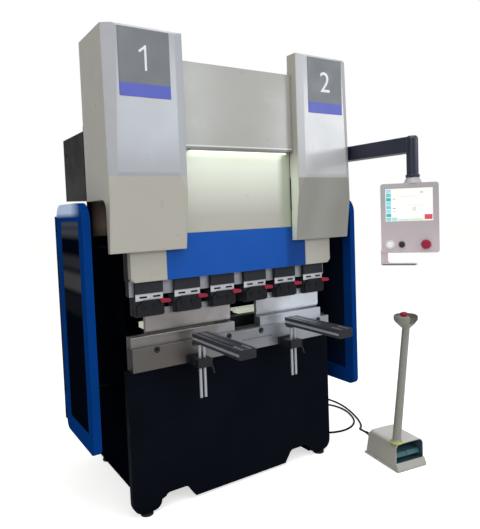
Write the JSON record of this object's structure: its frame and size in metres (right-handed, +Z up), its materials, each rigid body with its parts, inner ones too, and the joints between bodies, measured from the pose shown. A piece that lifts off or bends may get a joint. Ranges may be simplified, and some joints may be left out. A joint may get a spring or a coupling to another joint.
{
  "type": "press brake",
  "caption": "Electric press brake: ball-screw ram with tool clamps, bed with V dies, back gauge, side guards, swinging control pendant and corded foot pedal.",
  "frame": {"origin": "on the floor, under the middle of the machine's overall box without the free cable", "axes": "+Z up, +Y towards the back of the machine, +X to the operator's right; the operator stands on the -Y side"},
  "size_m": [2.1485, 1.5467, 2.45],
  "materials": {
    "frame_paint": "satin navy-black",
    "cover_paint": "satin beige",
    "ram_blue": "gloss blue",
    "guard_blue": "gloss blue",
    "ground_steel": "ground",
    "machined_steel": "machined",
    "dark_steel": "oiled",
    "clamp_black": "satin black",
    "lever_red": "gloss crimson",
    "arm_profile": "dark anodised",
    "pendant_paint": "satin navy",
    "pendant_grey": "satin grey",
    "lamp": "frosted",
    "button_white": "gloss",
    "button_black": "matte",
    "stop_red": "gloss",
    "pedal_cast": "painted cream",
    "treadle": "matte teal",
    "rubber": "matte"
  },
  "bodies": {
    "machine": {"side_frames": "frame_paint", "base_front": "frame_paint", "cross_ties": "frame_paint", "levelling_feet": "dark_steel", "bed_plate": "ground_steel", "bed_screws": "dark_steel", "die_key": "dark_steel", "dies": "ground_steel", "column_cover_left": "cover_paint", "column_cover_right": "cover_paint", "centre_cover": "cover_paint", "work_lamp": "lamp", "drive_mounts": "frame_paint", "servo_motors": "clamp_black", "drive_belts": "rubber", "ram_guide_rails": "machined_steel", "guard_posts": "frame_paint", "cabinet_body": "clamp_black", "gauge_rails": "ground_steel", "arm_brackets": "frame_paint", "pendant_bracket": "pendant_paint", "pedal_housing": "pedal_cast", "cable_gland": "rubber", "pedal_cable": "rubber"},
    "ram": {"ram_plate": "ground_steel", "ram_panel_centre": "ram_blue", "ram_panel_ends": "cover_paint", "ram_panel_upper": "cover_paint", "ram_carriages": "machined_steel", "clamp_bodies": "machined_steel", "clamp_plates": "clamp_black", "punches": "ground_steel"},
    "cabinet_door": {"cabinet_door": "clamp_black"},
    "ball_screw_left": {"ball_screw_left": "machined_steel"},
    "ball_screw_right": {"ball_screw_right": "machined_steel"},
    "motor_pulley_left": {"motor_pulley_left": "machined_steel"},
    "motor_pulley_right": {"motor_pulley_right": "machined_steel"},
    "clamp_lever_1": {"clamp_lever_1": "lever_red"},
    "clamp_lever_2": {"clamp_lever_2": "lever_red"},
    "clamp_lever_3": {"clamp_lever_3": "lever_red"},
    "clamp_lever_4": {"clamp_lever_4": "lever_red"},
    "clamp_lever_5": {"clamp_lever_5": "lever_red"},
    "clamp_lever_6": {"clamp_lever_6": "lever_red"},
    "gauge_beam": {"gauge_beam": "dark_steel"},
    "gauge_finger_left": {"gauge_finger_left": "ground_steel"},
    "gauge_finger_right": {"gauge_finger_right": "ground_steel"},
    "support_arm_left": {"support_arm_left": "arm_profile"},
    "support_arm_right": {"support_arm_right": "arm_profile"},
    "arm_lever_left": {"arm_lever_left": "dark_steel"},
    "arm_lever_right": {"arm_lever_right": "dark_steel"},
    "pendant_beam": {"pendant_beam": "pendant_paint"},
    "pendant_box": {"pendant_box": "pendant_grey"},
    "start_button": {"start_button": "button_white"},
    "selector_knob": {"selector_knob": "button_black"},
    "pendant_stop": {"pendant_stop": "stop_red"},
    "guard_left": {"guard_left": "guard_blue"},
    "guard_right": {"guard_right": "guard_blue"},
    "treadle_left": {"treadle_left": "treadle"},
    "treadle_right": {"treadle_right": "treadle"},
    "pedal_stop": {"pedal_stop": "stop_red"}
  },
  "joints": [
    {"name": "ram_slide", "type": "slide", "parent": "machine", "child": "ram", "axis": [0, 0, 1], "range_m": [-0.009, 0.144]},
    {"name": "ball_screw_left_turn", "type": "hinge", "parent": "machine", "child": "ball_screw_left", "pos_m": [-0.628, -0.057, 1.9], "axis": [0, 0, 1], "range_deg": [-5190, 330]},
    {"name": "motor_pulley_left_turn", "type": "hinge", "parent": "machine", "child": "motor_pulley_left", "pos_m": [-0.745, -0.017, 2.03], "axis": [0, 0, 1], "range_deg": [-10380, 660]},
    {"name": "ball_screw_right_turn", "type": "hinge", "parent": "machine", "child": "ball_screw_right", "pos_m": [0.474, -0.057, 1.9], "axis": [0, 0, 1], "range_deg": [-5190, 330]},
    {"name": "motor_pulley_right_turn", "type": "hinge", "parent": "machine", "child": "motor_pulley_right", "pos_m": [0.591, -0.017, 2.03], "axis": [0, 0, 1], "range_deg": [-10380, 660]},
    {"name": "clamp_lever_1_turn", "type": "hinge", "parent": "ram", "child": "clamp_lever_1", "pos_m": [-0.55667, -0.107, 1.123], "axis": [0, -1, 0], "range_deg": [0, 90]},
    {"name": "clamp_lever_2_turn", "type": "hinge", "parent": "ram", "child": "clamp_lever_2", "pos_m": [-0.34, -0.107, 1.123], "axis": [0, -1, 0], "range_deg": [0, 90]},
    {"name": "clamp_lever_3_turn", "type": "hinge", "parent": "ram", "child": "clamp_lever_3", "pos_m": [-0.12333, -0.107, 1.123], "axis": [0, -1, 0], "range_deg": [0, 90]},
    {"name": "clamp_lever_4_turn", "type": "hinge", "parent": "ram", "child": "clamp_lever_4", "pos_m": [0.09333, -0.107, 1.123], "axis": [0, -1, 0], "range_deg": [0, 90]},
    {"name": "clamp_lever_5_turn", "type": "hinge", "parent": "ram", "child": "clamp_lever_5", "pos_m": [0.31, -0.107, 1.123], "axis": [0, -1, 0], "range_deg": [0, 90]},
    {"name": "clamp_lever_6_turn", "type": "hinge", "parent": "ram", "child": "clamp_lever_6", "pos_m": [0.52667, -0.107, 1.123], "axis": [0, -1, 0], "range_deg": [0, 90]},
    {"name": "gauge_travel", "type": "slide", "parent": "machine", "child": "gauge_beam", "axis": [0, 1, 0], "range_m": [-0.015, 0.4]},
    {"name": "finger_left_slide", "type": "slide", "parent": "gauge_beam", "child": "gauge_finger_left", "axis": [-1, 0, 0], "range_m": [-0.06, 0.006]},
    {"name": "finger_right_slide", "type": "slide", "parent": "gauge_beam", "child": "gauge_finger_right", "axis": [1, 0, 0], "range_m": [-0.06, 0.006]},
    {"name": "support_arm_left_height", "type": "slide", "parent": "machine", "child": "support_arm_left", "axis": [0, 0, 1], "range_m": [-0.068, 0.12]},
    {"name": "arm_lever_left_turn", "type": "hinge", "parent": "machine", "child": "arm_lever_left", "pos_m": [-0.339, -0.191, 0.788], "axis": [1, 0, 0], "range_deg": [-30, 60]},
    {"name": "support_arm_right_height", "type": "slide", "parent": "machine", "child": "support_arm_right", "axis": [0, 0, 1], "range_m": [-0.068, 0.12]},
    {"name": "arm_lever_right_turn", "type": "hinge", "parent": "machine", "child": "arm_lever_right", "pos_m": [0.265, -0.191, 0.788], "axis": [1, 0, 0], "range_deg": [-30, 60]},
    {"name": "pendant_swing", "type": "hinge", "parent": "machine", "child": "pendant_beam", "pos_m": [0.743, -0.087, 1.895], "axis": [0, 0, 1], "range_deg": [0, 90]},
    {"name": "pendant_swivel", "type": "hinge", "parent": "pendant_beam", "child": "pendant_box", "pos_m": [0.743, -0.642, 1.7], "axis": [0, 0, 1], "range_deg": [-60, 60]},
    {"name": "start_button_press", "type": "slide", "parent": "pendant_box", "child": "start_button", "axis": [0.7771, 0.6293, 0], "range_m": [0, 0.006], "stiffness_N_per_m": 300, "springref_m": -0.004},
    {"name": "selector_turn", "type": "hinge", "parent": "pendant_box", "child": "selector_knob", "pos_m": [0.66838, -0.62136, 1.346], "axis": [-0.7771, -0.6293, 0], "range_deg": [-45, 45]},
    {"name": "pendant_stop_press", "type": "slide", "parent": "pendant_box", "child": "pendant_stop", "axis": [0.7771, 0.6293, 0], "range_m": [0, 0.006]},
    {"name": "guard_left_swing", "type": "hinge", "parent": "machine", "child": "guard_left", "pos_m": [-0.936, 0.366, 1], "axis": [0, 0, -1], "range_deg": [0, 95]},
    {"name": "guard_right_swing", "type": "hinge", "parent": "machine", "child": "guard_right", "pos_m": [0.782, 0.366, 1], "axis": [0, 0, 1], "range_deg": [0, 95]},
    {"name": "cabinet_door_swing", "type": "hinge", "parent": "machine", "child": "cabinet_door", "pos_m": [-0.834, 0.151, 1.83], "axis": [0, 0, 1], "range_deg": [0, 100]},
    {"name": "treadle_left_press", "type": "hinge", "parent": "machine", "child": "treadle_left", "pos_m": [0.78918, -0.29568, 0.076], "axis": [0.989, -0.1478, 0], "range_deg": [0, 5.5], "stiffness_Nm_per_rad": 12, "springref_deg": -6.88},
    {"name": "treadle_right_press", "type": "hinge", "parent": "machine", "child": "treadle_right", "pos_m": [0.8861, -0.31017, 0.076], "axis": [0.989, -0.1478, 0], "range_deg": [0, 5.5], "stiffness_Nm_per_rad": 12, "springref_deg": -6.88},
    {"name": "pedal_stop_press", "type": "slide", "parent": "machine", "child": "pedal_stop", "axis": [0, 0, -1], "range_m": [0, 0.006]}
  ],
  "couplings": [
    {"joint": "ball_screw_left_turn", "follows": "ram_slide", "rad_per_m": -628.32},
    {"joint": "motor_pulley_left_turn", "follows": "ram_slide", "rad_per_m": -1256.6},
    {"joint": "ball_screw_right_turn", "follows": "ram_slide", "rad_per_m": -628.32},
    {"joint": "motor_pulley_right_turn", "follows": "ram_slide", "rad_per_m": -1256.6}
  ]
}
